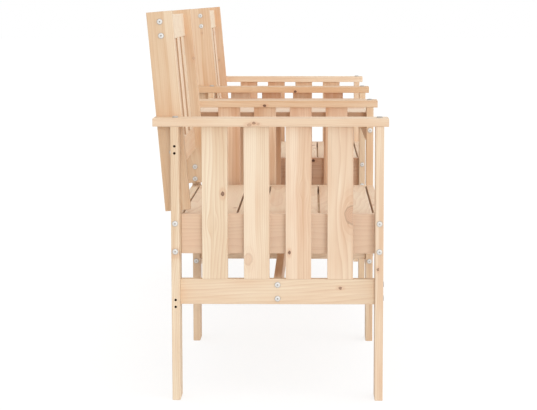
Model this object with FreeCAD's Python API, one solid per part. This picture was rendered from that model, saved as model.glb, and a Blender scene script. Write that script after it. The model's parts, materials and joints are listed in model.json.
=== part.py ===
"""Garden bench with two slatted seats and a fixed table between them.

Four arm frames stand in a row.  A seat with a leaning back fills each outer bay
and a table fills the middle one.  Every piece is a plain softwood board, tenoned
to its neighbours, and the leaning stiles of the backs are bolted to the rear posts.
X runs along the bench, the front faces -Y, Z is up, and the origin is on the floor
below the middle of the bench.
"""
import FreeCAD
import Part
import math
import os

from FreeCAD import Vector

# Boards
BOARD_W = 60.0
BOARD_T = 19.0
EDGE_EASE = 1.5

# Arm frames
FRAME_DEPTH = 495.0
ARM_ABOVE_TABLE = 17.0
ARM_REAR = 41.0
ARM_FRONT = 11.0
RAIL_Z = 226.0
SLAT_COUNT = 4
SLAT_GAP = 38.0

# Clear widths of the bays between the frames
SEAT_CLEAR = 540.0
TABLE_CLEAR = 560.0

# Seats
SEAT_H = 435.0
SEAT_APRON_H = 95.0
SEAT_GAP = 4.0
CLEAT_W = 20.0
CLEAT_H = 25.0

# Backs, measured along the leaning stile from its lower end
BACK_LEAN = 5.0
BACK_LENGTH = 470.0
BACK_LIFT = 5.5
BACK_BEHIND = 19.0
LOW_RAIL_AT = 93.0
TOP_RAIL_DROP = 10.0
BACK_SLAT_COUNT = 4

# Table
TABLE_H = 630.0
TABLE_APRON_H = 80.0
TABLE_GAP = 2.0
STRETCHER_Z = 201.5

# Stub tenons
TENON_T = 9.0
TENON_L = 10.0
TENON_SHOULDER = 10.0
TENON_PLAY = 0.2

# Bolts from the stiles of the backs into the rear posts
BOLT_D = 6.0
BOLT_BITE = 45.0
BOLT_PLAY = 0.4
BOLT_RISE = 18.5
BOLT_PITCH = 33.0
HEAD_D = 12.5
HEAD_CROWN_D = 8.0
HEAD_H = 3.0

# Spare holes in the outer edges of the end frames' rear posts, in pairs at the
# levels of the table's apron and stretcher
SPARE_D = 6.0
SPARE_DEPTH = 20.0
SPARE_PITCH = 16.5
SPARE_APRON_RISE = 35.0
SPARE_STRETCHER_RISE = 22.0

AXIS_X = Vector(1, 0, 0)
AXIS_Y = Vector(0, 1, 0)
AXIS_Z = Vector(0, 0, 1)

# Frame centres along the bench, numbered from the -X end
INNER_X = (TABLE_CLEAR + BOARD_W) / 2
OUTER_X = INNER_X + SEAT_CLEAR + BOARD_W
FRAME_X = {1: -OUTER_X, 2: -INNER_X, 3: INNER_X, 4: OUTER_X}

# Front and rear faces, with the middle of the whole depth at Y = 0
BACK_REACH = BACK_BEHIND + BACK_LENGTH * math.sin(math.radians(BACK_LEAN))
REAR_Y = (FRAME_DEPTH + ARM_FRONT - BACK_REACH) / 2
FRONT_Y = REAR_Y - FRAME_DEPTH
POST_Y = {"front": FRONT_Y + BOARD_T / 2, "rear": REAR_Y - BOARD_T / 2}
INSIDE_Y = {"front": FRONT_Y + BOARD_T, "rear": REAR_Y - BOARD_T}
INSIDE = (INSIDE_Y["front"], INSIDE_Y["rear"])
MIDDLE_Y = sum(INSIDE) / 2
OUTWARD = {"front": AXIS_Y * -1, "rear": AXIS_Y}

# Levels
POST_H = TABLE_H + ARM_ABOVE_TABLE
ARM_TOP = POST_H + BOARD_T
RAIL_TOP = RAIL_Z + BOARD_W
RAIL_MID = RAIL_Z + BOARD_W / 2
SEAT_UNDER = SEAT_H - BOARD_T
SEAT_APRON_Z = SEAT_H - SEAT_APRON_H
TABLE_UNDER = TABLE_H - BOARD_T
TABLE_APRON_Z = TABLE_H - TABLE_APRON_H

# The boards made so far: a solid, or a list of solids, by name
parts = {}


def around(centre, size):
    """The two ends of a span about its centre."""
    return (centre - size / 2, centre + size / 2)


def side_by_side(span, count, gap):
    """Centres of boards laid side by side about the middle of a span."""
    first = sum(span) / 2 - (count - 1) * (BOARD_W + gap) / 2
    return [first + i * (BOARD_W + gap) for i in range(count)]


def block(x, y, z):
    """A plain box between two ends on each axis."""
    corner = Vector(min(x), min(y), min(z))
    return Part.makeBox(max(x) - min(x), max(y) - min(y), max(z) - min(z), corner)


def board(x, y, z, along):
    """A board with its long edges eased."""
    blank = block(x, y, z)
    long_edges = [e for e in blank.Edges if abs(e.tangentAt(e.FirstParameter).dot(along)) > 0.99]
    return blank.makeChamfer(EDGE_EASE, long_edges)


def stub(root, out, wide, width, play=0.0):
    """A stub tenon standing out of a shoulder, or its mortise where play is given."""
    half = wide * (width / 2 + play) + out.cross(wide) * (TENON_T / 2 + play)
    near = root - half
    far = root + half + out * (TENON_L + play)
    return block((near.x, far.x), (near.y, far.y), (near.z, far.z))


def tenon_joint(tenoned, mortised, root, out, wide, board_width=BOARD_W):
    """Give one board a stub tenon with shoulders and cut its mortise in the other."""
    width = board_width - 2 * TENON_SHOULDER
    parts[tenoned] = parts[tenoned].fuse(stub(root, out, wide, width))
    parts[mortised] = parts[mortised].cut(stub(root, out, wide, width, TENON_PLAY))


def bolt_joint(group, bolted, seat, out, length):
    """Drill the boards for one bolt, with its head seated on the first board's face."""
    head = Part.makeCone(HEAD_D / 2, HEAD_CROWN_D / 2, HEAD_H, seat, out)
    shank = Part.makeCylinder(BOLT_D / 2, length, seat, out * -1)
    drill = Part.makeCylinder((BOLT_D + BOLT_PLAY) / 2, length + BOLT_PLAY, seat, out * -1)
    for name in bolted:
        parts[name] = parts[name].cut(drill)
    parts.setdefault(group, []).append(head.fuse(shank))


def bay_ends(first, last):
    """Frame number, inner post face and outward direction at both ends of a bay."""
    half = BOARD_W / 2
    return ((first, FRAME_X[first] + half, AXIS_X * -1), (last, FRAME_X[last] - half, AXIS_X))


def arm_frame(number):
    """Two posts, an arm, a lower rail, and upright slats from rail to arm."""
    x = FRAME_X[number]
    arm = f"arm_{number}"
    rail = f"lower_rail_{number}"
    arm_y = (FRONT_Y - ARM_FRONT, REAR_Y + ARM_REAR)
    parts[arm] = board(around(x, BOARD_W), arm_y, (POST_H, ARM_TOP), AXIS_Y)
    parts[rail] = board(around(x, BOARD_T), INSIDE, (RAIL_Z, RAIL_TOP), AXIS_Y)
    for place, y in POST_Y.items():
        post = f"post_{number}_{place}"
        parts[post] = board(around(x, BOARD_W), around(y, BOARD_T), (0, POST_H), AXIS_Z)
        tenon_joint(post, arm, Vector(x, y, POST_H), AXIS_Z, AXIS_X)
        tenon_joint(rail, post, Vector(x, INSIDE_Y[place], RAIL_MID), OUTWARD[place], AXIS_Z)
    slats = []
    for y in side_by_side(INSIDE, SLAT_COUNT, SLAT_GAP):
        parts["slat"] = board(around(x, BOARD_T), around(y, BOARD_W), (RAIL_TOP, POST_H), AXIS_Z)
        tenon_joint("slat", arm, Vector(x, y, POST_H), AXIS_Z, AXIS_Y)
        tenon_joint("slat", rail, Vector(x, y, RAIL_TOP), AXIS_Z * -1, AXIS_Y)
        slats.append(parts.pop("slat"))
    parts[f"arm_slats_{number}"] = slats


def spare_holes(number, out):
    """Unused holes in the outer edge of an end frame's rear post."""
    post = f"post_{number}_rear"
    for level in (TABLE_APRON_Z + SPARE_APRON_RISE, STRETCHER_Z + SPARE_STRETCHER_RISE):
        for z in (level, level + SPARE_PITCH):
            mouth = Vector(FRAME_X[number], POST_Y["rear"], z) + out * (BOARD_W / 2)
            drill = Part.makeCylinder(SPARE_D / 2, SPARE_DEPTH, mouth, out * -1)
            parts[post] = parts[post].cut(drill)


def seat(name, first, last):
    """A box of aprons tenoned between the posts, filled with boards on cleats."""
    ends = bay_ends(first, last)
    span = [face for number, face, out in ends]
    levels = (SEAT_APRON_Z, SEAT_H)
    for place, y in POST_Y.items():
        apron = f"{name}_{place}_apron"
        parts[apron] = board(span, around(y, BOARD_T), levels, AXIS_X)
        for number, face, out in ends:
            root = Vector(face, y, sum(levels) / 2)
            tenon_joint(apron, f"post_{number}_{place}", root, out, AXIS_Z, SEAT_APRON_H)

    # End aprons between the front and rear ones, each with a cleat for the boards
    for number, face, out in ends:
        apron = f"{name}_end_apron_{number}"
        inner = face - out.x * BOARD_T
        parts[apron] = board((face, inner), INSIDE, levels, AXIS_Y)
        for place, y in INSIDE_Y.items():
            root = Vector((face + inner) / 2, y, sum(levels) / 2)
            tenon_joint(apron, f"{name}_{place}_apron", root, OUTWARD[place], AXIS_Z)
        cleat_x = (inner, inner - out.x * CLEAT_W)
        cleat_z = (SEAT_UNDER - CLEAT_H, SEAT_UNDER)
        parts[f"{name}_cleat_{number}"] = block(cleat_x, INSIDE, cleat_z)

    # Boards fill the depth between the aprons, with a gap at either side of each
    depth = INSIDE[1] - INSIDE[0]
    count = int((depth - SEAT_GAP) / (BOARD_W + SEAT_GAP))
    gap = (depth - count * BOARD_W) / (count + 1)
    board_x = (span[0] + BOARD_T, span[1] - BOARD_T)
    parts[f"{name}_boards"] = [
        board(board_x, around(y, BOARD_W), (SEAT_UNDER, SEAT_H), AXIS_X)
        for y in side_by_side(INSIDE, count, gap)
    ]


def seat_stretcher(name, first, last):
    """A stretcher tenoned between the lower rails at the ends of a seat."""
    half = BOARD_T / 2
    rail_faces = ((first, FRAME_X[first] + half, AXIS_X * -1), (last, FRAME_X[last] - half, AXIS_X))
    span = [face for number, face, out in rail_faces]
    stretcher = f"{name}_stretcher"
    parts[stretcher] = board(span, around(MIDDLE_Y, BOARD_T), (RAIL_Z, RAIL_TOP), AXIS_X)
    for number, face, out in rail_faces:
        root = Vector(face, MIDDLE_Y, RAIL_MID)
        tenon_joint(stretcher, f"lower_rail_{number}", root, out, AXIS_Z)


def seat_back(name, first, last):
    """A slatted back: built upright, leant back, then bolted to the rear posts."""
    ends = bay_ends(first, last)
    stiles = {number: f"{name}_stile_{number}" for number, face, out in ends}
    for number, face, out in ends:
        stile_x = (face, face - out.x * BOARD_T)
        parts[stiles[number]] = board(stile_x, (-BOARD_W, 0), (0, BACK_LENGTH), AXIS_Z)

    # Rails in the middle of the stiles' width, tenoned into both
    rail_y = -BOARD_W / 2
    rails = {f"{name}_low_rail": LOW_RAIL_AT}
    rails[f"{name}_top_rail"] = BACK_LENGTH - TOP_RAIL_DROP - BOARD_W
    inner = [face - out.x * BOARD_T for number, face, out in ends]
    for rail, z in rails.items():
        parts[rail] = board(inner, around(rail_y, BOARD_T), (z, z + BOARD_W), AXIS_X)
        for (number, face, out), x in zip(ends, inner):
            tenon_joint(rail, stiles[number], Vector(x, rail_y, z + BOARD_W / 2), out, AXIS_Z)

    # Upright slats with even gaps between the stiles
    low_rail, top_rail = rails
    slat_z = (rails[low_rail] + BOARD_W, rails[top_rail])
    gap = (inner[1] - inner[0] - BACK_SLAT_COUNT * BOARD_W) / (BACK_SLAT_COUNT + 1)
    slats = []
    for x in side_by_side(inner, BACK_SLAT_COUNT, gap):
        parts["slat"] = board(around(x, BOARD_W), around(rail_y, BOARD_T), slat_z, AXIS_Z)
        tenon_joint("slat", low_rail, Vector(x, rail_y, slat_z[0]), AXIS_Z * -1, AXIS_X)
        tenon_joint("slat", top_rail, Vector(x, rail_y, slat_z[1]), AXIS_Z, AXIS_X)
        slats.append(lean_back(parts.pop("slat")))
    parts[f"{name}_slats"] = slats
    for piece in (*stiles.values(), *rails):
        parts[piece] = lean_back(parts[piece])

    # Each stile is bolted to its post from the seat side
    for number, face, out in ends:
        for step in (0, BOLT_PITCH):
            z = SEAT_H + BOLT_RISE + step
            head_at = Vector(face - out.x * BOARD_T, POST_Y["rear"], z)
            bolted = (stiles[number], f"post_{number}_rear")
            bolt_joint("stile_bolts", bolted, head_at, out * -1, BOARD_T + BOLT_BITE)


def lean_back(upright):
    """Lean a piece of the back about its lower rear edge and set it behind the seat."""
    leant = upright.rotated(Vector(0, 0, 0), AXIS_X, -BACK_LEAN)
    return leant.translated(Vector(0, REAR_Y + BACK_BEHIND, SEAT_H + BACK_LIFT))


def table(first, last):
    """Boards from front to rear on cleats between two aprons, with stretchers below."""
    ends = bay_ends(first, last)
    span = [face for number, face, out in ends]
    for place, y in POST_Y.items():
        apron = f"table_{place}_apron"
        stretcher = f"table_{place}_stretcher"
        thick = around(y, BOARD_T)
        parts[apron] = board(span, thick, (TABLE_APRON_Z, TABLE_H), AXIS_X)
        parts[stretcher] = board(span, thick, (STRETCHER_Z, STRETCHER_Z + BOARD_W), AXIS_X)
        cleat_y = (INSIDE_Y[place], INSIDE_Y[place] - OUTWARD[place].y * CLEAT_W)
        cleat_z = (TABLE_UNDER - CLEAT_H, TABLE_UNDER)
        parts[f"table_{place}_cleat"] = block(span, cleat_y, cleat_z)
        for number, face, out in ends:
            post = f"post_{number}_{place}"
            apron_root = Vector(face, y, (TABLE_APRON_Z + TABLE_H) / 2)
            tenon_joint(apron, post, apron_root, out, AXIS_Z, TABLE_APRON_H)
            stretcher_root = Vector(face, y, STRETCHER_Z + BOARD_W / 2)
            tenon_joint(stretcher, post, stretcher_root, out, AXIS_Z)

    # Boards fill the bay from frame to frame
    count = int((TABLE_CLEAR + TABLE_GAP) / (BOARD_W + TABLE_GAP))
    gap = (TABLE_CLEAR - count * BOARD_W) / (count - 1)
    parts["table_boards"] = [
        board(around(x, BOARD_W), INSIDE, (TABLE_UNDER, TABLE_H), AXIS_Y)
        for x in side_by_side(span, count, gap)
    ]


def export_parts():
    """Write each board or group of boards to its own file."""
    os.makedirs("parts", exist_ok=True)
    for name, made in parts.items():
        pieces = made if isinstance(made, list) else [made]
        solids = [solid for piece in pieces for solid in piece.removeSplitter().Solids]
        shape = solids[0] if len(solids) == 1 else Part.Compound(solids)
        shape.exportStep(os.path.join("parts", f"{name}.step"))


for frame_number in FRAME_X:
    arm_frame(frame_number)
spare_holes(1, AXIS_X * -1)
spare_holes(4, AXIS_X)
for seat_name, ends_at in {"seat_a": (1, 2), "seat_b": (3, 4)}.items():
    seat(seat_name, *ends_at)
    seat_stretcher(seat_name, *ends_at)
for back_name, ends_at in {"back_a": (1, 2), "back_b": (3, 4)}.items():
    seat_back(back_name, *ends_at)
table(2, 3)
export_parts()
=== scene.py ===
"""Looks of the garden bench with table.

Every CAD board is replaced by one with rounded, slightly worn arrises and its own grain.
A procedural pine reads data stored on each board and draws growth rings, fibres, knots,
end grain and worn edges. Low zinc heads with sockets stand wherever the bench is bolted together.
Lengths are in metres, and the data stored for the grain is in millimetres.
"""

import fnmatch
import json
import math
import random

import bmesh
import bpy
from mathutils import Matrix, Vector, noise


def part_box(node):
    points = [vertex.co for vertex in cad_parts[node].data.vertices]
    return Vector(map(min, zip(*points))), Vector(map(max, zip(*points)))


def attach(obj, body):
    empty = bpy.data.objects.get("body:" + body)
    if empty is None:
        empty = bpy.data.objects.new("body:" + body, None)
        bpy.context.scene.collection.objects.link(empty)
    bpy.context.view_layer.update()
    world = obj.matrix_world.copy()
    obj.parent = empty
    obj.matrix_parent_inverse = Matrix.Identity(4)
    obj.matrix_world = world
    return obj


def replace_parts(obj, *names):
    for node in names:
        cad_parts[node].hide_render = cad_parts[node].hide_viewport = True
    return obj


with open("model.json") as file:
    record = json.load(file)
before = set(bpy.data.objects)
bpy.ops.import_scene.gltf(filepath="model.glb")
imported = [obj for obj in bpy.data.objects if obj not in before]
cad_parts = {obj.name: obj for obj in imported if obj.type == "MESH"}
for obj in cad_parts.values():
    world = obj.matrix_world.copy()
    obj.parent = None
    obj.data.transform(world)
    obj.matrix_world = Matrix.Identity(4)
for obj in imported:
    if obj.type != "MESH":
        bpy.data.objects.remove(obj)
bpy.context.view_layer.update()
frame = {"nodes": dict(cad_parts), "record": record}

MM = 0.001
X, Y, Z = 0, 1, 2

# Grain axis of each kind of board, and which of its ends carry a hidden tenon; the first fit counts
STOCK = {
    "post_*": (Z, (0, 1)),
    "arm_slats_*": (Z, (1, 1)),
    "arm_*": (Y, (0, 0)),
    "lower_rail_*": (Y, (1, 1)),
    "seat_?_end_apron_*": (Y, (1, 1)),
    "seat_?_*_apron": (X, (1, 1)),
    "seat_?_stretcher": (X, (1, 1)),
    "seat_?_cleat_*": (Y, (0, 0)),
    "seat_?_boards": (X, (0, 0)),
    "back_?_stile_*": (Z, (0, 0)),
    "back_?_slats": (Z, (1, 1)),
    "back_?_*_rail": (X, (1, 1)),
    "table_*_apron": (X, (1, 1)),
    "table_*_stretcher": (X, (1, 1)),
    "table_*_cleat": (X, (0, 0)),
    "table_boards": (Y, (0, 0)),
}
TENON = 10 * MM
LEAN_DEGREES = -5
LEAN = Matrix.Rotation(math.radians(LEAN_DEGREES), 4, "X")
SLOT_OF = {row["node"]: row["material_slot"] for row in frame["record"]["subparts"]}

# Shape of a board: its rounded arrises and how far they wear, and the small chamfer of its ends
ARRIS = 1.6 * MM
ARRIS_WEAR = 0.3 * MM
ARRIS_STEPS = 3
END_EASE = 0.6 * MM
# Spacing of a board's cross-sections, and the sharpest angle in degrees that is shaded smooth
STATION = 60 * MM
SMOOTH_ANGLE = 50

# Length of a worn stretch of arris, and what sets the wear of corners and boards apart
WORN_STRETCH = 70 * MM
CORNER_APART = 7.3
LENGTH_APART, PLACE_APART = 91, 37

# How near a point is to be the same as another, on a face, in a hole or on a board
WELD = 0.01 * MM
ON_FACE = 0.02 * MM
IN_HOLE = 0.1 * MM
ON_BOARD = 1 * MM
# A point off both faces is on the arris within this share of its radius
ARRIS_SHARE = 0.7

# Spare holes in the outer edges of the end frames' rear posts
DRILLED = {"post_1_rear": -1, "post_4_rear": 1}
HOLE_LEVELS = (223.5 * MM, 240 * MM, 585 * MM, 601.5 * MM)
HOLE_RADIUS = 3 * MM
HOLE_DEPTH = 20 * MM
HOLE_SIDES = 20

# Data that each board stores for the pine; NO_KNOT lies too far away to show
MOST_KNOTS = 3
NO_KNOT = (9000.0, 9000.0, 1.0)
BOARD_DATA = ["grain", "face", "wear", "tint", "rings", "knot_tone"]
BOARD_DATA += [f"knot_{i}" for i in range(MOST_KNOTS)]

# Warmth and redness of boards, mostly from 0 to 1, by node and number; the first fit counts
# Many tints stand in for light: boards deep in the bench are warmer and redder as painted shade, and
# the near end apron is paler as painted light
TINTS = {
    "arm_slats_1/0": (0.42, 0.75),
    "arm_slats_1/1": (0.3, 0.45),
    "arm_slats_1/2": (0.35, 0.2),
    "arm_slats_1/3": (0.3, -0.1),
    "arm_1/*": (0.45, 0.4),
    "arm_2/*": (0.8, 0.4),
    "arm_3/*": (1.2, 0.4),
    "arm_4/*": (0.1, 0.3),
    "arm_slats_2/*": (0.65, 0.85),
    "arm_slats_3/*": (0.75, 0.8),
    "arm_slats_4/*": (0.65, 0.6),
    "lower_rail_1/*": (0.5, 0.1),
    "post_1_rear/*": (0.45, 0.4),
    "post_2_rear/*": (0.75, 0.4),
    "post_[23]_*": (0.5, 0.0),
    "post_4_*": (0.6, 0.4),
    "back_a_stile_1/*": (0.75, -0.1),
    "back_a_stile_2/*": (1.0, 0.15),
    "back_b_stile_3/*": (0.55, 0.3),
    "back_b_stile_4/*": (0.65, 0.7),
    "back_?_top_rail/*": (0.0, 0.3),
    "back_?_low_rail/*": (0.5, 0.6),
    "back_?_slats/*": (0.15, 0.4),
    # Painted light: the near end apron is paler, to make up for its shade behind the slats; painted
    # shade: the far one under the table is redder
    "seat_a_end_apron_1/*": (-0.2, 0.8),
    "seat_b_end_apron_3/*": (0.4, 1.0),
    "seat_?_boards/*": (0.1, 0.5),
    "seat_?_stretcher/*": (0.6, 1.1),
    "table_boards/*": (0.35, 0.8),
}
# Tint of the boards that fit none of these, and how far any board is off by chance
PLAIN_TINT = (0.35, 0.3)
WARMTH_SPREAD, REDNESS_SPREAD = 0.08, 0.15

# Growth where rings are seen well: pith across and through, taper, ring width, heart's radius
SEEN_GROWTH = {
    "lower_rail_1/0": (-70, 50, 0.05, 6.5, 30),
    "post_1_rear/0": (0, 70, -0.06, 4.0, 76),
    "seat_a_end_apron_1/0": (-60, 95, 0.0, 5.0, 30),
    "back_a_stile_1/0": (110, 8, 0.0, 4.5, 122),
    "back_b_stile_3/0": (-100, 6, 0.002, 9.0, 110),
    "arm_slats_1/0": (22, 60, 0.004, 7.0, 30),
    "arm_slats_1/1": (-40, 52, 0.004, 3.2, 60),
    "arm_slats_1/2": (-95, 30, 0.0, 5.0, 97),
    "arm_slats_1/3": (-44, 40, 0.018, 6.0, 60),
    "arm_slats_2/2": (90, 12, 0.0, 8.0, 84),
    "arm_slats_2/3": (-95, 12, 0.0, 8.0, 88),
}

# Growth of the other boards is drawn from ranges: the pith of flat-sawn and quarter-sawn ones
FLAT_SAWN_SHARE = 0.65
FLAT_ACROSS, FLAT_THROUGH = (-24, 24), (30, 95)
QUARTER_ACROSS, QUARTER_THROUGH = (55, 120), (-14, 14)
# Their taper, ring width and heart's radius, and the length of grain that boards are cut from
TAPERS = (-0.045, 0.045)
RING_WIDTHS = (2.8, 4.8)
HEART_RADII = (20, 110)
GRAIN_LENGTH = 8000

# How strongly rings show, and boards whose rings are stronger than most, and by how much
RING_CONTRASTS = (0.3, 0.55)
RING_STRENGTH = {"arm_slats_1/0": 1.5}

# Boards whose narrow edges are sawn and not planed, and how strongly that shows; the darker edge is
# partly painted shade for the gaps between the boards
SAWN_SHADED_EDGES = {"back_?_slats": 0.9, "seat_?_boards": 0.6, "table_boards": 0.6}

# Knots that are seen: node, point and radius in mm, and darkness; one of 0 only bends the grain
SEEN_KNOTS = [
    ("arm_slats_1", (-919.5, 103.7, 488), 4.2, 0.7),
    ("arm_slats_1", (-919.5, 128, 417), 10.0, 0.0),
    ("arm_slats_1", (-919.5, 44, 333), 10.0, 0.02),
    ("arm_slats_1", (-919.5, -52.3, 349), 3.2, 0.8),
    ("arm_slats_1", (-919.5, -86, 500), 9.0, 0.0),
    ("arm_slats_1", (-919.5, -199.0, 438), 17.0, 0.06),
    ("lower_rail_1", (-919.5, -172.0, 265), 3.0, 0.6),
    ("arm_slats_2", (-319.5, 120, 330), 4.0, 0.0),
    ("arm_1", (-940, 29.1, 655), 2.9, 0.6),
    ("arm_1", (-940, 40, 651), 3.6, 0.2),
    ("arm_1", (-940, 19, 653), 2.4, 0.12),
    ("post_1_front", (-940, -259, 313), 2.6, 0.6),
    ("arm_2", (-340, 24.9, 652), 3.4, 0.9),
    ("arm_3", (280, -50.9, 651), 3.6, 0.9),
    ("seat_a_end_apron_1", (-880, 30, 390), 4.0, 0.0),
    ("seat_b_end_apron_3", (340, -108, 426), 4.0, 0.9),
    ("back_a_stile_2", (-359, 216, 782), 3.2, 0.12),
    ("back_b_stile_3", (340, 246, 834), 2.6, 0.12),
    ("back_b_stile_4", (861, 226, 726), 3.2, 0.15),
]

# Knots of the other boards: one in about so many mm, and with luck one more
KNOT_SPACING = 450
KNOT_LUCK = 1.2
# Shares of a board's length and width that they keep to, their radii and their darkness
KNOT_ALONG, KNOT_ACROSS = 0.46, 0.45
KNOT_RADII = (2.2, 3.0, 3.6, 4.5, 6.5)
KNOT_TONES = (0.05, 0.65)


def by_name(table, node, default=None):
    """The first entry of a table whose pattern fits a node's name."""
    return next((v for name, v in table.items() if fnmatch.fnmatchcase(node, name)), default)


def solids_of(node):
    """The points of each separate solid in a CAD node, in a fixed order."""
    probe = bmesh.new()
    probe.from_mesh(frame["nodes"][node].data)
    bmesh.ops.remove_doubles(probe, verts=probe.verts, dist=WELD)
    waiting = set(probe.verts)
    solids = []
    while waiting:
        reached = [waiting.pop()]
        points = []
        while reached:
            vert = reached.pop()
            points.append(vert.co.copy())
            near = {edge.other_vert(vert) for edge in vert.link_edges} & waiting
            waiting -= near
            reached.extend(near)
        solids.append(points)
    probe.free()
    return sorted(solids, key=lambda points: [round(min(c), 4) for c in zip(*points)])


def corners_of(points):
    """Lowest and highest corner of the box round some points."""
    return Vector(min(c) for c in zip(*points)), Vector(max(c) for c in zip(*points))


class Board:
    """One board: its size along, across and through the grain, and its place in the bench."""

    def __init__(self, node, index, points):
        lean = LEAN if node.startswith("back_") else Matrix.Identity(4)
        low, high = corners_of([lean.inverted() @ point for point in points])
        grain, tenons = by_name(STOCK, node)
        low[grain] += tenons[0] * TENON
        high[grain] -= tenons[1] * TENON
        size = high - low
        wide, thin = sorted({X, Y, Z} - {grain}, key=lambda axis: -size[axis])
        self.node = node
        self.name = f"{node}/{index}"
        self.length, self.width, self.thick = size[grain], size[wide], size[thin]
        along = Vector(axis == grain for axis in (X, Y, Z))
        across = Vector(axis == wide for axis in (X, Y, Z))
        turn = Matrix((along, across, along.cross(across))).transposed().to_4x4()
        self.place = lean @ Matrix.Translation((low + high) / 2) @ turn
        self.draw = random.Random(self.name)

    def holds(self, local):
        """Whether a point in the board's own axes lies on it."""
        half = (self.length / 2, self.width / 2, self.thick / 2)
        return all(abs(c) < h + ON_BOARD for c, h in zip(local, half))


def boards_of(node):
    """The boards of a CAD node, without their tenons."""
    return [Board(node, index, points) for index, points in enumerate(solids_of(node))]


def arris_radius(board, u, corner):
    """Radius of one arris, worn a little more in some places than in others."""
    own = board.length * LENGTH_APART + board.place.translation.length * PLACE_APART
    worn = noise.noise((u / WORN_STRETCH, corner * CORNER_APART, own))
    return ARRIS + ARRIS_WEAR * max(-1, min(1, 2 * worn))


def section(board, u, inset):
    """Points round a board's cross-section at one place along it."""
    signs = ((1, 1), (-1, 1), (-1, -1), (1, -1))
    points = []
    for corner, (side_v, side_w) in enumerate(signs):
        radius = arris_radius(board, u, corner)
        centre_v = side_v * (board.width / 2 - inset - radius)
        centre_w = side_w * (board.thick / 2 - inset - radius)
        for step in range(ARRIS_STEPS + 1):
            angle = (corner + step / ARRIS_STEPS) * math.pi / 2
            v = centre_v + radius * math.cos(angle)
            w = centre_w + radius * math.sin(angle)
            points.append(Vector((u, v, w)))
    return points


def board_shape(board):
    """Points and faces of a board in its own axes: along, across and through the grain."""
    steps = max(2, round(board.length / STATION))
    half = board.length / 2 - END_EASE
    stations = [(-board.length / 2, END_EASE)]
    stations += [(half * (2 * i / steps - 1), 0) for i in range(steps + 1)]
    stations.append((board.length / 2, END_EASE))
    rings = [section(board, u, inset) for u, inset in stations]
    points = [point for ring in rings for point in ring]
    count = len(rings[0])
    faces = [tuple(reversed(range(count)))]
    for ring in range(len(rings) - 1):
        first = ring * count
        for k in range(count):
            a, b = first + k, first + (k + 1) % count
            faces.append((a, b, b + count, a + count))
    faces.append(tuple(range(len(points) - count, len(points))))
    return points, faces


def scratch_object(name, mesh):
    """An object that is only there for a modifier to work on."""
    made = bpy.data.objects.new(name, mesh)
    bpy.context.scene.collection.objects.link(made)
    return made


def hole_mouths(board):
    """Middles of the spare holes' mouths in a post's own axes."""
    middle_z = board.place.translation.z
    side = DRILLED[board.node]
    return [Vector((level - middle_z, side * board.width / 2, 0)) for level in HOLE_LEVELS]


def drilled(board, points, faces):
    """A post's shape with its spare holes cut into one narrow face."""
    blank_mesh = bpy.data.meshes.new("blank")
    blank_mesh.from_pydata(points, [], faces)
    drill = bmesh.new()
    for mouth in hole_mouths(board):
        place = Matrix.Translation(mouth) @ Matrix.Rotation(math.pi / 2, 4, "X")
        bmesh.ops.create_cone(
            drill, cap_ends=True, segments=HOLE_SIDES, radius1=HOLE_RADIUS, radius2=HOLE_RADIUS,
            depth=2 * HOLE_DEPTH, matrix=place,
        )
    drill_mesh = bpy.data.meshes.new("drill")
    drill.to_mesh(drill_mesh)
    drill.free()
    blank = scratch_object("blank", blank_mesh)
    cutter = scratch_object("drill", drill_mesh)
    cut = blank.modifiers.new("holes", "BOOLEAN")
    cut.operation = "DIFFERENCE"
    cut.solver = "EXACT"
    cut.object = cutter
    made = blank.evaluated_get(bpy.context.evaluated_depsgraph_get()).to_mesh()
    points = [vert.co.copy() for vert in made.vertices]
    faces = [tuple(face.vertices) for face in made.polygons]
    for scratch in (blank, cutter):
        bpy.data.objects.remove(scratch)
    return points, faces


def in_hole(board, points, face):
    """Whether a face of a drilled post is the wall or floor of a hole."""
    at = sum((points[i] for i in face), Vector()) / len(face)
    near = HOLE_RADIUS + IN_HOLE
    inside = abs(at.z) < near and abs(at.y) < board.width / 2 - IN_HOLE
    return inside and any(abs(at.x - mouth.x) < near for mouth in hole_mouths(board))


def growth_of(board):
    """Pith across and through, taper and width of the rings, and the heart's radius, in mm."""
    draw = board.draw
    side = draw.choice((-1, 1))
    if draw.random() < FLAT_SAWN_SHARE:
        pith = draw.uniform(*FLAT_ACROSS), side * draw.uniform(*FLAT_THROUGH)
    else:
        pith = side * draw.uniform(*QUARTER_ACROSS), draw.uniform(*QUARTER_THROUGH)
    grown = *pith, draw.uniform(*TAPERS), draw.uniform(*RING_WIDTHS), draw.uniform(*HEART_RADII)
    return SEEN_GROWTH.get(board.name, grown)


def tint_of(board):
    """Warmth and redness of a board."""
    warmth, redness = by_name(TINTS, board.name, PLAIN_TINT)
    draw = board.draw
    return warmth + draw.gauss(0, WARMTH_SPREAD), redness + draw.gauss(0, REDNESS_SPREAD)


def seen_knots(board):
    """Knots that the photograph shows on a board: place in its own axes, radius and tone."""
    own_axes = board.place.inverted()
    knots = []
    for node, at, radius, tone in SEEN_KNOTS:
        local = own_axes @ (Vector(at) * MM)
        if node == board.node and board.holds(local):
            knots.append((local, radius, tone))
    return knots


def knots_of(board):
    """Knots of a board as (along, across, radius), their tones, and the axis they lie across."""
    seen = seen_knots(board)
    if seen:
        first = seen[0][0]
        across = Y if abs(first.z) / board.thick > abs(first.y) / board.width else Z
        knots = [(at.x / MM, at[across] / MM, radius) for at, radius, _ in seen]
        return knots, [tone for _, _, tone in seen], across
    draw = board.draw
    reach = board.width / MM * KNOT_ACROSS
    count = min(MOST_KNOTS, int(board.length / MM / KNOT_SPACING + draw.random() * KNOT_LUCK))
    knots = []
    for _ in range(count):
        radius = draw.choice(KNOT_RADII)
        along = draw.uniform(-KNOT_ALONG, KNOT_ALONG) * board.length / MM
        knots.append((along, draw.uniform(-1, 1) * reach, radius))
    return knots, [draw.uniform(*KNOT_TONES) for _ in knots], Y


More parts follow.
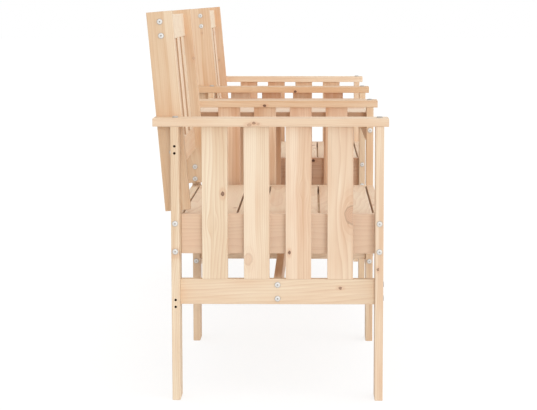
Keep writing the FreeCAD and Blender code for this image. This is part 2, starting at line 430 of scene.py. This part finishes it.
def board_data(board, points):
    """What each point of a board stores for the pine, by name."""
    pith_v, pith_w, taper, ring_width, heart = growth_of(board)
    offset = board.draw.uniform(0, GRAIN_LENGTH)
    knots, tones, across = knots_of(board)
    spare = MOST_KNOTS - len(knots)
    knots = knots + [NO_KNOT] * spare
    same = {"tint": (*tint_of(board), heart), "knot_tone": tones + [0] * spare}
    contrast = board.draw.uniform(*RING_CONTRASTS) * by_name(RING_STRENGTH, board.name, 1)
    same["rings"] = (taper, ring_width, contrast)
    same.update({f"knot_{i}": knot for i, knot in enumerate(knots)})
    data = {name: [value] * len(points) for name, value in same.items()}
    data["grain"] = [(u / MM + offset, v / MM - pith_v, w / MM - pith_w) for u, v, w in points]
    data["face"] = [(p.x / MM, p[across] / MM, across == Z) for p in points]
    data["wear"] = [(is_arris(board, p), is_end(board, p), sawn_shade_of(board, p)) for p in points]
    return data


def is_arris(board, point):
    """1 for a point on a rounded arris, 0 for one on a face."""
    from_edges = sorted((board.width / 2 - abs(point.y), board.thick / 2 - abs(point.z)))
    return float(from_edges[0] > ON_FACE and from_edges[1] < ARRIS_SHARE * ARRIS)


def is_end(board, point):
    """1 for a point on an end of the board, 0 for one along it."""
    return float(abs(point.x) > board.length / 2 - ON_FACE)


def sawn_shade_of(board, point):
    """How strongly a point takes a narrow edge's sawn colour and painted shade, which is 0 on a
    planed face.
    """
    on_edge = abs(point.y) > board.width / 2 - ON_FACE
    return by_name(SAWN_SHADED_EDGES, board.node, 0.0) if on_edge else 0.0


def timber(node):
    """Make the piece that stands for a CAD node out of its boards."""
    points, faces, bored = [], [], []
    data = {name: [] for name in BOARD_DATA}
    for board in boards_of(node):
        local, local_faces = board_shape(board)
        if node in DRILLED:
            local, local_faces = drilled(board, local, local_faces)
            bored = [i for i, face in enumerate(local_faces) if in_hole(board, local, face)]
        faces += [tuple(i + len(points) for i in face) for face in local_faces]
        points += [board.place @ point for point in local]
        for name, values in board_data(board, local).items():
            data[name] += values
    mesh = bpy.data.meshes.new(f"{node}_timber")
    mesh.from_pydata(points, [], faces)
    for name, values in data.items():
        layer = mesh.attributes.new(name, "FLOAT_VECTOR", "POINT")
        layer.data.foreach_set("vector", [c for value in values for c in value])
    piece = link_piece(mesh, SLOT_OF[node])
    if bored:
        mesh.materials.append(SHADED_BORE)
        for i in bored:
            mesh.polygons[i].material_index = SECOND_SLOT
    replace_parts(piece, node)


def link_piece(mesh, slot):
    """An object for a finished mesh, shaded, placed on the bench and given its finish."""
    mesh.shade_smooth()
    mesh.set_sharp_from_angle(angle=math.radians(SMOOTH_ANGLE))
    piece = bpy.data.objects.new(mesh.name, mesh)
    bpy.context.scene.collection.objects.link(piece)
    mesh.materials.append(MATERIALS[slot])
    weighted = piece.modifiers.new("flat faces", "WEIGHTED_NORMAL")
    weighted.keep_sharp = True
    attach(piece, "root")
    return piece


# Materials

def colour(red, green, blue):
    """A colour written in 8-bit sRGB, as the linear colour that nodes take."""
    def linear(level):
        level /= 255
        return level / 12.92 if level <= 0.04045 else ((level + 0.055) / 1.055) ** 2.4
    return (linear(red), linear(green), linear(blue), 1)


class Graph:
    """Builds a node tree with short calls, each of which returns an output."""

    def __init__(self, tree):
        self.tree = tree
        tree.nodes.clear()

    def node(self, kind, inputs=None, **settings):
        """A new node with its settings, and with its inputs linked or set."""
        made = self.tree.nodes.new(kind)
        for name, value in settings.items():
            setattr(made, name, value)
        for name, value in (inputs or {}).items():
            if isinstance(value, bpy.types.NodeSocket):
                self.tree.links.new(value, made.inputs[name])
            else:
                made.inputs[name].default_value = value
        return made

    def math(self, operation, *values, clamp=False):
        inputs = dict(enumerate(values))
        return self.node("ShaderNodeMath", inputs, operation=operation, use_clamp=clamp).outputs[0]

    def fold(self, operation, values):
        """One value from several, by an operation on two at a time."""
        total = values[0]
        for value in values[1:]:
            total = self.math(operation, total, value)
        return total

    def add(self, *values):
        return self.fold("ADD", values)

    def times(self, *values):
        return self.fold("MULTIPLY", values)

    def scaled(self, value, factor, shift=0.0):
        return self.math("MULTIPLY_ADD", value, factor, shift)

    def swing(self, value, width):
        """A value from 0 to 1 as one that swings so widely about 0."""
        return self.scaled(value, width, -width / 2)

    def between(self, value, low, high):
        """A value from 0 to 1 as one from low to high."""
        return self.scaled(value, high - low, low)

    def stored(self, name):
        """The three parts of a vector that each point of a board stores."""
        vector = self.node("ShaderNodeAttribute", attribute_name=name).outputs["Vector"]
        return self.node("ShaderNodeSeparateXYZ", {0: vector}).outputs

    def vector(self, *parts):
        return self.node("ShaderNodeCombineXYZ", dict(enumerate(parts))).outputs[0]

    def noise(self, parts, lengths, detail=2.0, roughness=0.5):
        """Noise from 0 to 1 whose features are about as long as given along each axis."""
        place = self.vector(*[self.math("DIVIDE", p, length) for p, length in zip(parts, lengths)])
        inputs = {"Vector": place, "Scale": 1.0, "Detail": detail, "Roughness": roughness}
        return self.node("ShaderNodeTexNoise", inputs).outputs[0]

    def fade(self, value, start, end):
        """0 at start and 1 at end, smoothly; start may be the higher one."""
        inputs = {"Value": value, "From Min": start, "From Max": end}
        return self.node("ShaderNodeMapRange", inputs, interpolation_type="SMOOTHSTEP").outputs[0]

    def curve(self, value, *stops):
        """A value read off straight lines between (place, height) stops."""
        ramp = self.node("ShaderNodeValToRGB", {"Fac": value})
        elements = ramp.color_ramp.elements
        for place, _ in stops[1:-1]:
            elements.new(place)
        for element, (place, height) in zip(elements, stops):
            element.position = place
            element.color = (height, height, height, 1)
        return ramp.outputs["Color"]

    def mix(self, factor, a, b):
        """A colour between two others, which have sockets of their own in a Mix node."""
        inputs = {0: factor, 6: a, 7: b}
        return self.node("ShaderNodeMix", inputs, data_type="RGBA").outputs[2]

    def bump(self, height, strength, distance):
        """A normal that follows a height."""
        inputs = {"Height": height, "Strength": strength, "Distance": distance}
        return self.node("ShaderNodeBump", inputs).outputs["Normal"]

    def surface(self, **inputs):
        """A Principled surface as the material's output."""
        named = {name.replace("_", " "): value for name, value in inputs.items()}
        shader = self.node("ShaderNodeBsdfPrincipled", named)
        self.node("ShaderNodeOutputMaterial", {"Surface": shader.outputs[0]})

    def choice(self, factor, first, second):
        """One of two shaders, by a factor of 0 or 1."""
        inputs = {0: factor, 1: first.outputs[0], 2: second.outputs[0]}
        return self.node("ShaderNodeMixShader", inputs).outputs[0]


def blank_material(name):
    """A new material and the graph that its nodes are made with."""
    material = bpy.data.materials.new(name)
    material.use_nodes = True
    return material, Graph(material.node_tree)


# Colours of the pine
RING_COLOUR = colour(200, 152, 113)
RESIN_COLOUR = colour(186, 150, 108)
HALO_COLOUR = colour(214, 160, 124)
KNOT_COLOUR = colour(224, 184, 153)
DARK_KNOT = colour(88, 48, 32)
END_COLOUR = colour(204, 163, 124)
# A sawn edge's colour, darkened further as painted shade for the gaps between boards
SAWN_SHADE_COLOUR = colour(184, 142, 108)
WORN_COLOUR = colour(244, 228, 206)
PALE_YELLOW, PALE_RED = colour(241, 224, 198), colour(242, 215, 190)
WARM_YELLOW, WARM_RED = colour(216, 182, 145), colour(214, 166, 129)
# Painted shade inside the spare holes, mottled by torn fibres
BORE_SHADE_DARK, BORE_SHADE_PALE = colour(58, 34, 20), colour(96, 60, 36)

# Sizes of the pine's patterns along, across and through the grain, in mm, and the finer detail
WANDER_SIZE = (420, 90, 90)
RIPPLE_SIZE = (90, 18, 18)
STREAK_SIZE, STREAK_DETAIL = (420, 10, 10), 3.0
CLOUD_SIZE = (170, 45, 45)
FIBRE_SIZE = (40, 0.8, 0.8)
RESIN_SIZE = (260, 2.2, 2.2)
RUBBED_SIZE = (60, 8, 8)
TORN_SIZE, TORN_DETAIL = (6, 1, 1), 3.0

# How far the rings wander and ripple, and how soft the heartwood's edge is, in mm
WANDER, RIPPLE = 26, 3
HEART_EDGE = 2.0
# How dark a ring is from its early to its late wood, and the faintest ring's share of that
RING_CURVE = ((0, 0), (0.3, 0.05), (0.75, 0.55), (0.92, 1), (1, 0))
FAINTEST_RING = 0.3

# How widely each pattern swings the warmth and the redness
HEART_WARMTH, STREAK_WARMTH, CLOUD_WARMTH, FIBRE_WARMTH = 0.3, 0.8, 0.6, 0.2
CLOUD_REDNESS = 0.8

# Where the noise turns to resin or rubbed arris, and how strongly these and the ends show
RESIN_FADE, RUBBED_FADE = (0.66, 0.76), (0.3, 0.7)
RESIN_SHARE, RUBBED_SHARE, END_SHARE = 0.35, 0.35, 0.55

# Finish of the wood: roughness, bump strength and depth, and specular level
PINE_ROUGH, PINE_BUMP, PINE_SPECULAR = (0.45, 0.7), (0.25, 0.25 * MM), 0.3
BORED_ROUGH, BORED_BUMP, BORED_SPECULAR = (0.7, 0.9), (0.4, 0.3 * MM), 0.2
# What hard wood takes off the roughness, and what fibres, rings and knots each add to the bump
HARD_SHINE = 0.1
RELIEF = 0.5

# How much longer than wide a knot and the flow round it are, and how ragged its edge is
KNOT_STRETCH = 1.3
FLOW_STRETCH = 2.0
RAGGED = 2.4
# Width in mm of a knot's own rings and of those crowded round it, and how soon a dark one shows
KNOT_RING = 4.5
CROWDED_RING = 8.0
SHOWN_GAIN = 20.0
# Where the parts of a knot begin to show and show fully, in knot radii
HALO_FADE, WAKE_FADE, KNOT_FADE = (2.6, 0.8), (2.4, 1.0), (1.1, 0.85)
RIM_INNER_FADE, RIM_OUTER_FADE = (0.8, 1.0), (1.15, 1.0)
# How strongly they show; a pair is what darkness adds and the share of a pale knot
HALO_SHARE, RIM_SHARE = (0.25, 0.15), (0.3, 0.25)
WAKE_SHARE, KNOT_SHARE, KNOT_RING_SHADE = 0.3, 0.9, 0.2


class Knot:
    """Node outputs that tell where a point lies from one of its board's knots."""

    def __init__(self, g, face, index):
        along_face, across_face, _ = face
        along, across, self.radius = g.stored(f"knot_{index}")
        away_along = g.math("SUBTRACT", along_face, along)
        away_across = g.math("SUBTRACT", across_face, across)

        def reach(stretch):
            """Distance in knot radii, shorter along the grain by a stretch."""
            shortened = g.math("DIVIDE", away_along, stretch)
            squared = g.add(g.times(shortened, shortened), g.times(away_across, away_across))
            return g.math("DIVIDE", g.math("SQRT", squared), self.radius)

        # The ragged edge is smoother round a large knot
        lumps = g.noise((away_along, away_across, along), (self.radius, self.radius, 1.0))
        ragged = g.math("DIVIDE", RAGGED, g.math("SQRT", self.radius))
        self.distance = g.add(reach(KNOT_STRETCH), g.times(ragged, g.swing(lumps, 1.0)))
        # Fibres pass a knot as a stream passes a stone
        self.flow = reach(FLOW_STRETCH)
        squared = g.math("MAXIMUM", g.times(self.flow, self.flow), 1.0)
        self.push = g.math("DIVIDE", away_across, squared)

    def rings(self, g, reach, width):
        """How far a point is through a ring round the knot, from 0 to 1."""
        return g.math("FRACT", g.math("DIVIDE", g.times(reach, self.radius), width))

    def painted(self, g, wood, dark):
        """The wood's colour with the knot on it: a reddish halo, its own rings and a thin rim."""
        shown = g.math("MULTIPLY", dark, SHOWN_GAIN, clamp=True)
        halo = g.times(g.fade(self.flow, *HALO_FADE), g.scaled(dark, *HALO_SHARE), shown)
        inside = g.times(g.fade(self.distance, *KNOT_FADE), shown)
        rim = g.times(
            g.fade(self.distance, *RIM_INNER_FADE), g.fade(self.distance, *RIM_OUTER_FADE), shown,
        )
        crowded = self.rings(g, self.flow, CROWDED_RING)
        wake = g.times(crowded, crowded, g.fade(self.flow, *WAKE_FADE), shown)
        shade = g.add(dark, g.scaled(self.rings(g, self.distance, KNOT_RING), KNOT_RING_SHADE))
        knot = g.mix(g.math("MINIMUM", shade, 1.0), KNOT_COLOUR, DARK_KNOT)
        wood = g.mix(halo, wood, HALO_COLOUR)
        wood = g.mix(g.scaled(wake, WAKE_SHARE), wood, RING_COLOUR)
        wood = g.mix(g.scaled(inside, KNOT_SHARE), wood, knot)
        return g.mix(g.times(rim, g.scaled(dark, *RIM_SHARE)), wood, DARK_KNOT)


def ring_radius(g, grain, face, taper, knots):
    """Distance from the wandering pith in mm, where knots push the grain aside on their faces."""
    _, across, through = grain
    along_face, _, edgewise = face
    push = g.add(*[knot.push for knot in knots])
    push_through = g.times(push, edgewise)
    across = g.math("SUBTRACT", across, g.math("SUBTRACT", push, push_through))
    through = g.math("SUBTRACT", through, push_through)
    squared = g.add(g.times(across, across), g.times(through, through))
    wander = g.swing(g.noise(grain, WANDER_SIZE), WANDER)
    ripple = g.swing(g.noise(grain, RIPPLE_SIZE), RIPPLE)
    return g.add(g.math("SQRT", squared), g.times(along_face, taper), wander, ripple)


def late_wood(g, radius, ring_width):
    """How much of a ring's dark late wood a point has; some rings are fainter than others."""
    rings = g.math("DIVIDE", radius, ring_width)
    late = g.curve(g.math("FRACT", rings), *RING_CURVE)
    number = g.math("FLOOR", rings)
    chance = g.node("ShaderNodeTexWhiteNoise", {"W": number}, noise_dimensions="1D").outputs["Value"]
    return g.times(late, g.between(chance, FAINTEST_RING, 1.0))


def clear_wood(g, grain, radius, fibres):
    """Colour of the wood between its rings: sapwood and heartwood, streaks, clouds and fibres."""
    warmth, redness, heart = g.stored("tint")
    streaks = g.noise(grain, STREAK_SIZE, STREAK_DETAIL)
    clouds = g.noise(grain, CLOUD_SIZE)
    heartwood = g.fade(radius, g.add(heart, HEART_EDGE), g.add(heart, -HEART_EDGE))
    warmth = g.add(warmth, g.swing(heartwood, HEART_WARMTH))
    warmth = g.add(warmth, g.swing(streaks, STREAK_WARMTH), g.swing(clouds, CLOUD_WARMTH))
    warmth = g.math("ADD", warmth, g.swing(fibres, FIBRE_WARMTH), clamp=True)
    redness = g.math("ADD", redness, g.swing(clouds, CLOUD_REDNESS), clamp=True)
    pale = g.mix(redness, PALE_YELLOW, PALE_RED)
    warm = g.mix(redness, WARM_YELLOW, WARM_RED)
    return g.mix(warmth, pale, warm)


def pine(name):
    """Planed pine: rings about a pith, fibres, streaks, knots, end grain and worn arrises."""
    material, g = blank_material(name)
    grain = g.stored("grain")
    face = g.stored("face")
    arris, end, sawn_shade = g.stored("wear")
    taper, ring_width, contrast = g.stored("rings")
    knots = [Knot(g, face, i) for i in range(MOST_KNOTS)]
    radius = ring_radius(g, grain, face, taper, knots)
    late = late_wood(g, radius, ring_width)
    fibres = g.noise(grain, FIBRE_SIZE)

    # Clear wood takes its rings, a little resin and the knots
    wood = clear_wood(g, grain, radius, fibres)
    wood = g.mix(g.times(late, contrast), wood, RING_COLOUR)
    resin = g.fade(g.noise(grain, RESIN_SIZE), *RESIN_FADE)
    wood = g.mix(g.scaled(resin, RESIN_SHARE), wood, RESIN_COLOUR)
    for knot, dark in zip(knots, g.stored("knot_tone")):
        wood = knot.painted(g, wood, dark)

    # Ends are darker, narrow sawn edges are darker for their sawn surface and as painted shade in
    # the gaps, and arrises are rubbed pale in places
    wood = g.mix(g.scaled(end, END_SHARE), wood, END_COLOUR)
    wood = g.mix(sawn_shade, wood, SAWN_SHADE_COLOUR)
    rubbed = g.times(arris, g.fade(g.noise(grain, RUBBED_SIZE), *RUBBED_FADE))
    wood = g.mix(g.scaled(rubbed, RUBBED_SHARE), wood, WORN_COLOUR)

    # Hard rings and knots shine a little more and stand a little proud
    nearest = g.fold("MINIMUM", [knot.distance for knot in knots])
    hard = g.fade(nearest, *KNOT_FADE)
    rough = g.add(
        g.between(fibres, *PINE_ROUGH), g.scaled(late, -HARD_SHINE), g.scaled(hard, -HARD_SHINE),
    )
    height = g.add(*[g.scaled(part, RELIEF) for part in (fibres, late, hard)])
    normal = g.bump(height, *PINE_BUMP)
    g.surface(Base_Color=wood, Roughness=rough, Normal=normal, Specular_IOR_Level=PINE_SPECULAR)
    return material


def bored_pine():
    """Torn fibres inside a drilled hole, darkened as painted shade."""
    material, g = blank_material("bored_pine")
    torn = g.noise(g.stored("grain"), TORN_SIZE, TORN_DETAIL)
    wood = g.mix(torn, BORE_SHADE_DARK, BORE_SHADE_PALE)
    rough = g.between(torn, *BORED_ROUGH)
    normal = g.bump(torn, *BORED_BUMP)
    g.surface(Base_Color=wood, Roughness=rough, Normal=normal, Specular_IOR_Level=BORED_SPECULAR)
    return material


# Metal: colours, scales of the patterns in features per metre, and finish as for the pine
# Painted shade for the feet of bolt heads and their sockets, mottled; then the zinc
SHADE_DARK, SHADE_PALE = colour(158, 153, 148), colour(190, 185, 180)
ZINC_BRIGHT, ZINC_DULL = colour(222, 219, 215), colour(200, 198, 194)
SHADE_MOTTLE_SCALE, SPANGLE_SCALE, SMEAR_SCALE = 900.0, 1400.0, 500.0
SMEAR_DETAIL = 3.0
SPANGLE_SHARE = 0.4
SHADE_ROUGH, SHADE_SPECULAR = (0.4, 0.7), 0.4
ZINC_ROUGH, ZINC_BUMP = (0.5, 0.75), (0.1, 0.05 * MM)


def grime():
    """Painted shade in a bolt's socket and round its foot, dull and mottled."""
    material, g = blank_material("grime")
    place = g.node("ShaderNodeTexCoord").outputs["Object"]
    mottle = g.node("ShaderNodeTexNoise", {"Vector": place, "Scale": SHADE_MOTTLE_SCALE}).outputs[0]
    shade = g.mix(mottle, SHADE_DARK, SHADE_PALE)
    rough = g.between(mottle, *SHADE_ROUGH)
    g.surface(Base_Color=shade, Roughness=rough, Specular_IOR_Level=SHADE_SPECULAR)
    return material


def zinc():
    """Bright zinc plate with faint spangle and handling marks."""
    material, g = blank_material("zinc")
    place = g.node("ShaderNodeTexCoord").outputs["Object"]
    cells = {"Vector": place, "Scale": SPANGLE_SCALE}
    spangle = g.node("ShaderNodeTexVoronoi", cells).outputs["Color"]
    marks = {"Vector": place, "Scale": SMEAR_SCALE, "Detail": SMEAR_DETAIL}
    smear = g.node("ShaderNodeTexNoise", marks).outputs[0]
    shade = g.mix(g.times(spangle, SPANGLE_SHARE), ZINC_BRIGHT, ZINC_DULL)
    rough = g.between(smear, *ZINC_ROUGH)
    g.surface(Base_Color=shade, Roughness=rough, Normal=g.bump(smear, *ZINC_BUMP), Metallic=1.0)
    return material


SHADED_BORE = bored_pine()
PAINTED_SHADE = grime()
PINES = ("pine_frame", "pine_slat", "pine_back", "pine_seat", "pine_table")
MATERIALS = {slot: pine(slot) for slot in PINES}
MATERIALS["zinc"] = zinc()
# A piece's first material is its own finish, and its second is SHADED_BORE or PAINTED_SHADE, painted
# shade in a hole or on a bolt head
FIRST_SLOT, SECOND_SLOT = 0, 1

# Boards

for node_name in frame["nodes"]:
    if SLOT_OF[node_name] != "zinc":
        timber(node_name)


# Bolt heads

HEAD_SIDES = 24
BOLT_RADIUS, BOLT_HEIGHT = 6.9 * MM, 2.6 * MM
SCREW_RADIUS, SCREW_HEIGHT = 7.0 * MM, 3.4 * MM
SOCKET = 1.6 * MM
SOCKET_FLOOR = 0.25 * MM
# Shares of a head's height that its straight foot and its rounded rim take
HEAD_FOOT, HEAD_RIM = 0.35, 0.57
# Shares of its radius at which the rim ends and the flat top begins, and steps round the rim
HEAD_RIM_END, HEAD_FLAT = 0.78, 0.5
HEAD_RIM_STEPS = 3
# Bands of a head, counted from its foot, that take painted shade: the foot of the rim and the
# socket's wall
SHADED_BANDS = (0, 1, 2, 6)


def hexagon(angle):
    """Distance from the middle to a hexagon's side, for a flat at unit distance."""
    return 1 / math.cos((angle + math.pi / 6) % (math.pi / 3) - math.pi / 6)


def head_rings(radius, height):
    """Rings of a low head with a rounded rim and a socket, as (radius, height, hexagon or not)."""
    rings = [(radius, 0, False), (radius, HEAD_FOOT * height, False)]
    crown = HEAD_RIM_END * radius
    for step in range(1, HEAD_RIM_STEPS + 1):
        angle = step / HEAD_RIM_STEPS * math.pi / 2
        across = crown + (radius - crown) * math.cos(angle)
        rings.append((across, height * (HEAD_FOOT + HEAD_RIM * math.sin(angle)), False))
    rings.append((HEAD_FLAT * radius, height, False))
    rings += [(SOCKET, height, True), (SOCKET, SOCKET_FLOOR, True)]
    return rings


def bolt_head(mesh, seat, out, radius, height):
    """Add one head to a bmesh, seated on a face and pointing out of it."""
    turn = out.to_track_quat("Z", "Y").to_matrix().to_4x4()
    place = Matrix.Translation(seat) @ turn
    loops = []
    for across, up, is_hex in head_rings(radius, height):
        loop = []
        for side in range(HEAD_SIDES):
            angle = 2 * math.pi * side / HEAD_SIDES
            r = across * (hexagon(angle) if is_hex else 1)
            point = Vector((r * math.cos(angle), r * math.sin(angle), up))
            loop.append(mesh.verts.new(place @ point))
        loops.append(loop)
    for band, (low, high) in enumerate(zip(loops, loops[1:])):
        for side in range(HEAD_SIDES):
            after = (side + 1) % HEAD_SIDES
            made = mesh.faces.new((low[side], low[after], high[after], high[side]))
            made.material_index = SECOND_SLOT if band in SHADED_BANDS else FIRST_SLOT
    mesh.faces.new(reversed(loops[0]))
    # The socket's floor takes painted shade as well
    mesh.faces.new(loops[-1]).material_index = SECOND_SLOT


def bolt_heads(name, places, radius=BOLT_RADIUS, height=BOLT_HEIGHT):
    """One piece with a head at each place, given as the seat and the way out of the face."""
    heads = bmesh.new()
    for seat, out in places:
        bolt_head(heads, seat, out, radius, height)
    mesh = bpy.data.meshes.new(name)
    heads.to_mesh(mesh)
    heads.free()
    piece = link_piece(mesh, "zinc")
    mesh.materials.append(PAINTED_SHADE)
    return piece


def middle(node):
    """The middle of a node's box."""
    low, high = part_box(node)
    return (low + high) / 2


def face_x(node, side):
    """X of a node's low or high face, by the sign of side."""
    low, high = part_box(node)
    return high.x if side > 0 else low.x


ALONG, ACROSS, UP = Vector((1, 0, 0)), Vector((0, 1, 0)), Vector((0, 0, 1))
FRAMES = (1, 2, 3, 4)
SEATS = {"a": (1, 2), "b": (3, 4)}
STILES = [name for name in frame["nodes"] if "_stile_" in name]
APRON_BOLT_INSET = 14.5 * MM
RAIL_BOLT_STEP = 16.5 * MM
# Heights of the table's bolts above the lower edges of its stretchers and aprons
STRETCHER_BOLT_UP, APRON_BOLT_UP = 22 * MM, 35 * MM


def seat_bolts():
    """Two bolts through each post into the end of a seat apron."""
    for seat, ends in SEATS.items():
        for number, side in zip(ends, (-1, 1)):
            for place in ("front", "rear"):
                post = f"post_{number}_{place}"
                low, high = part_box(f"seat_{seat}_{place}_apron")
                for z in (low.z + APRON_BOLT_INSET, high.z - APRON_BOLT_INSET):
                    yield Vector((face_x(post, side), middle(post).y, z)), ALONG * side


def rail_bolts():
    """Two bolts through each post into the end of a lower rail, and two into each stretcher."""
    for number in FRAMES:
        z_middle = middle(f"lower_rail_{number}").z
        for place, side in (("front", -1), ("rear", 1)):
            low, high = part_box(f"post_{number}_{place}")
            y = high.y if side > 0 else low.y
            for step in (-RAIL_BOLT_STEP, RAIL_BOLT_STEP):
                yield Vector((middle(f"post_{number}_{place}").x, y, z_middle + step)), ACROSS * side
    for seat, ends in SEATS.items():
        stretcher = middle(f"seat_{seat}_stretcher")
        for number, side in zip(ends, (-1, 1)):
            x = face_x(f"lower_rail_{number}", side)
            for step in (-RAIL_BOLT_STEP, RAIL_BOLT_STEP):
                yield Vector((x, stretcher.y, stretcher.z + step)), ALONG * side


def arm_screws():
    """One screw down through each arm into the top of each post."""
    for number in FRAMES:
        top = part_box(f"arm_{number}")[1].z
        for place in ("front", "rear"):
            post = middle(f"post_{number}_{place}")
            yield Vector((post.x, post.y, top)), UP


def table_bolts():
    """Bolts from the seat side through the inner posts into the stretchers and the front apron."""
    for number, side in ((2, -1), (3, 1)):
        for place in ("front", "rear"):
            post = f"post_{number}_{place}"
            apron, stretcher = f"table_{place}_apron", f"table_{place}_stretcher"
            levels = [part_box(stretcher)[0].z + STRETCHER_BOLT_UP]
            if place == "front":
                levels.append(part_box(apron)[0].z + APRON_BOLT_UP)
            for z in levels:
                yield Vector((face_x(post, side), middle(post).y, z)), ALONG * side


def back_bolts():
    """Bolts through the outer faces of the leaning stiles into the ends of the back's rails."""
    for back, ends in SEATS.items():
        for number, side in zip(ends, (-1, 1)):
            x = face_x(f"back_{back}_stile_{number}", side)
            top = LEAN.inverted() @ middle(f"back_{back}_top_rail")
            low = LEAN.inverted() @ middle(f"back_{back}_low_rail")
            for level in (top.z - RAIL_BOLT_STEP, top.z + RAIL_BOLT_STEP, low.z + RAIL_BOLT_STEP):
                yield LEAN @ Vector((x, top.y, level)), ALONG * side


def stile_bolts():
    """The heads of the CAD bolts that hold the stiles to the rear posts."""
    for points in solids_of("stile_bolts"):
        low, high = corners_of(points)
        at = (low + high) / 2
        stile = min(STILES, key=lambda name: abs(middle(name).x - at.x))
        side = 1 if at.x < middle(stile).x else -1
        yield Vector((face_x(stile, side), at.y, at.z)), ALONG * side


bolt_heads("seat_bolt_heads", seat_bolts())
bolt_heads("rail_bolt_heads", rail_bolts())
bolt_heads("table_bolt_heads", table_bolts())
bolt_heads("back_bolt_heads", back_bolts())
bolt_heads("arm_screw_heads", arm_screws(), SCREW_RADIUS, SCREW_HEIGHT)
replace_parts(bolt_heads("stile_bolt_heads", stile_bolts()), "stile_bolts")


# Studio: a pale floor, even light and a white background

WHITE = (1, 1, 1, 1)
AMBIENT = 0.83
BACKGROUND = 1.0
FLOOR_SIZE = 60.0
# The floor as it lights the bench, and as it is seen: a dim grey for the shadow, lifted by a glow
FLOOR_GREY = (0.82, 0.82, 0.82, 1)
SHADOW_GREY = (0.25, 0.25, 0.25, 1)
FLOOR_GLOW = 0.8
# Broad suns: where each shines from, its strength, and its spread in degrees
SUNS = {
    "key": ((-1, -0.18, 0.15), 0.65, 14),
    "top": ((-0.2, -0.3, 0.9), 0.4, 60),
    "front": ((-0.3, -1, 0.15), 0.5, 30),
}


def seen_directly(g):
    """1 for rays that show the background, 0 for those that light the bench."""
    path = g.node("ShaderNodeLightPath").outputs
    mirrored = g.math("MAXIMUM", path["Is Glossy Ray"], path["Is Transmission Ray"])
    return g.math("MAXIMUM", path["Is Camera Ray"], mirrored)


def studio_world():
    """Even light from all round, and white where the background itself is seen."""
    world = bpy.data.worlds.new("studio")
    world.use_nodes = True
    g = Graph(world.node_tree)
    light = g.node("ShaderNodeBackground", {"Color": WHITE, "Strength": AMBIENT})
    white = g.node("ShaderNodeBackground", {"Color": WHITE, "Strength": BACKGROUND})
    g.node("ShaderNodeOutputWorld", {"Surface": g.choice(seen_directly(g), light, white)})
    bpy.context.scene.world = world


def studio_floor():
    """A pale floor that takes the bench's shadow and runs out into the background."""
    half = FLOOR_SIZE / 2
    corners = [(-half, -half, 0), (half, -half, 0), (half, half, 0), (-half, half, 0)]
    mesh = bpy.data.meshes.new("floor")
    mesh.from_pydata(corners, [], [(0, 1, 2, 3)])
    floor = bpy.data.objects.new("floor", mesh)
    bpy.context.scene.collection.objects.link(floor)
    material, g = blank_material("floor")
    matt = g.node("ShaderNodeBsdfDiffuse", {"Color": FLOOR_GREY})
    dim = g.node("ShaderNodeBsdfDiffuse", {"Color": SHADOW_GREY})
    glow = g.node("ShaderNodeEmission", {"Color": WHITE, "Strength": FLOOR_GLOW})
    lifted = g.node("ShaderNodeAddShader", {0: dim.outputs[0], 1: glow.outputs[0]})
    g.node("ShaderNodeOutputMaterial", {"Surface": g.choice(seen_directly(g), matt, lifted)})
    mesh.materials.append(material)


def studio_suns():
    """Soft lights over the viewer's shoulder, from above and from the front."""
    for name, (shines_from, strength, spread) in SUNS.items():
        sun = bpy.data.lights.new(name, "SUN")
        sun.energy = strength
        sun.angle = math.radians(spread)
        lamp = bpy.data.objects.new(name, sun)
        lamp.rotation_euler = Vector(shines_from).to_track_quat("Z", "Y").to_euler()
        bpy.context.scene.collection.objects.link(lamp)


# Camera: along the bench from its -X end, a little above the arms; angles are in degrees

CAMERA_AT = Vector((-4.2695, -0.1084, 0.9395))
CAMERA_YAW, CAMERA_PITCH = 0.719, 5.988
CAMERA_LENS = 97.05
CAMERA_SHIFT = (-0.05, -0.1)
CAMERA_REACH = 200


def place_camera():
    """The photograph's viewpoint."""
    data = bpy.data.cameras.new("camera")
    data.lens = CAMERA_LENS
    data.shift_x, data.shift_y = CAMERA_SHIFT
    data.clip_end = CAMERA_REACH
    camera = bpy.data.objects.new("camera", data)
    yaw, pitch = math.radians(CAMERA_YAW), math.radians(CAMERA_PITCH)
    level = math.cos(pitch)
    ahead = Vector((math.cos(yaw) * level, math.sin(yaw) * level, -math.sin(pitch)))
    camera.location = CAMERA_AT
    camera.rotation_euler = ahead.to_track_quat("-Z", "Y").to_euler()
    bpy.context.scene.collection.objects.link(camera)
    bpy.context.scene.camera = camera


studio_world()
studio_floor()
studio_suns()
place_camera()
bpy.context.scene.view_settings.view_transform = "Standard"
